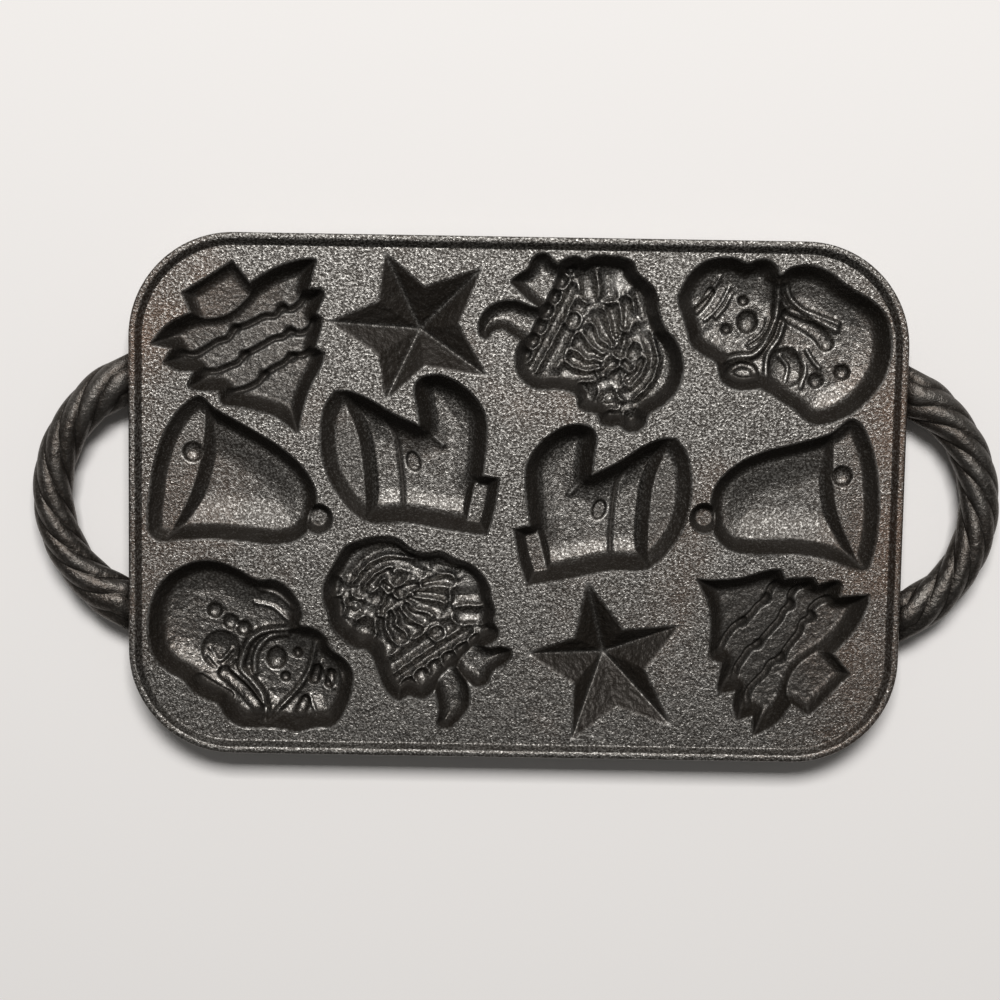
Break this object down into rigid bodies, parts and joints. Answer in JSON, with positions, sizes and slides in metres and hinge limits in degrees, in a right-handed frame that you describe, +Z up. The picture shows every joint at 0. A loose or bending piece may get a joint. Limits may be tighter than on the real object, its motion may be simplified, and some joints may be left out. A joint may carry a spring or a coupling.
{
  "type": "cast iron muffin pan",
  "caption": "Rectangular cast iron baking pan with a raised rim, relief moulds shaped as trees, stars, bells, boots, snowmen and bearded figures, and twisted rope loop handles at both ends.",
  "frame": {"origin": "middle of the pan's footprint, on the table plane that the flat mould bottoms stand on", "axes": "+X from one rope handle to the other, +Y across the pan towards the row that starts with tree_a, +Z up out of the moulds"},
  "size_m": [0.3718, 0.2, 0.019],
  "materials": {
    "iron_deck": "sand cast grain, dry seasoned, light grey brown",
    "iron_rim": "sand cast grain, worn bright on the edge",
    "iron_mould": "smoother cast walls, grainy floors, dark brown black",
    "iron_rope": "smooth dark cast strands"
  },
  "bodies": {
    "root": {"deck_plate": "iron_deck", "rim": "iron_rim", "mould_tree_a": "iron_mould", "mould_star_a": "iron_mould", "mould_elder_a": "iron_mould", "mould_snowman_a": "iron_mould", "mould_bell_a": "iron_mould", "mould_boot_a": "iron_mould", "mould_boot_b": "iron_mould", "mould_bell_b": "iron_mould", "mould_snowman_b": "iron_mould", "mould_elder_b": "iron_mould", "mould_star_b": "iron_mould", "mould_tree_b": "iron_mould", "handle_left": "iron_rope", "handle_right": "iron_rope"}
  },
  "joints": []
}
